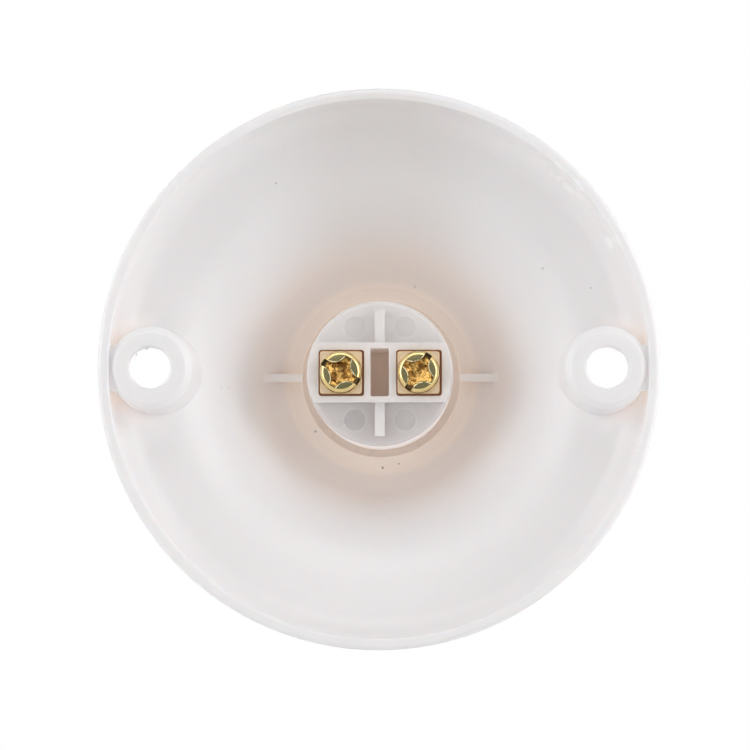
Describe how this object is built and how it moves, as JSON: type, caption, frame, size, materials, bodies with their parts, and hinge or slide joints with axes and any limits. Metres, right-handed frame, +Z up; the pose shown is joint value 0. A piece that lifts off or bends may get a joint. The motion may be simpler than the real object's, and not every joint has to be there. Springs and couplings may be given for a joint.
{
  "type": "wall lamp holder",
  "caption": "Round bell-shaped wall lamp holder with a straight neck for a screw-cap lamp, two wall screw bosses and an insert with screw terminals inside.",
  "frame": {"origin": "centre of the wall plane, midway between the two wall screw holes", "axes": "+Y along the lamp axis out of the back, towards the wall; the lamp enters from -Y; +X towards the left terminal as seen from the wall; +Z up"},
  "size_m": [0.09, 0.054, 0.09],
  "materials": {
    "base_plastic": "satin",
    "insert_plastic": "natural",
    "thread_brass": "rolled",
    "contact_brass": "stamped",
    "clamp_brass": "stamped",
    "screw_brass": "bright",
    "rivet_brass": "bright"
  },
  "bodies": {
    "holder": {"base_shell": "base_plastic", "socket_insert": "insert_plastic", "thread_shell": "thread_brass", "centre_contact": "contact_brass", "side_contact": "contact_brass", "shell_rivet_1": "rivet_brass", "shell_rivet_2": "rivet_brass", "shell_rivet_3": "rivet_brass"},
    "left_clamp": {"left_clamp": "clamp_brass"},
    "left_screw": {"left_screw": "screw_brass"},
    "right_clamp": {"right_clamp": "clamp_brass"},
    "right_screw": {"right_screw": "screw_brass"}
  },
  "joints": [
    {"name": "left_clamp_slide", "type": "slide", "parent": "holder", "child": "left_clamp", "axis": [0, 1, 0], "range_m": [-0.0006, 0.002]},
    {"name": "left_screw_turn", "type": "hinge", "parent": "left_clamp", "child": "left_screw", "pos_m": [0.00637, -0.013, 0], "axis": [0, 1, 0], "range_deg": [-362, 1202]},
    {"name": "right_clamp_slide", "type": "slide", "parent": "holder", "child": "right_clamp", "axis": [0, 1, 0], "range_m": [-0.0006, 0.002]},
    {"name": "right_screw_turn", "type": "hinge", "parent": "right_clamp", "child": "right_screw", "pos_m": [-0.00637, -0.013, 0], "axis": [0, 1, 0], "range_deg": [-362, 1202]}
  ],
  "couplings": [
    {"joint": "left_screw_turn", "follows": "left_clamp_slide", "rad_per_m": 10472},
    {"joint": "right_screw_turn", "follows": "right_clamp_slide", "rad_per_m": 10472}
  ]
}
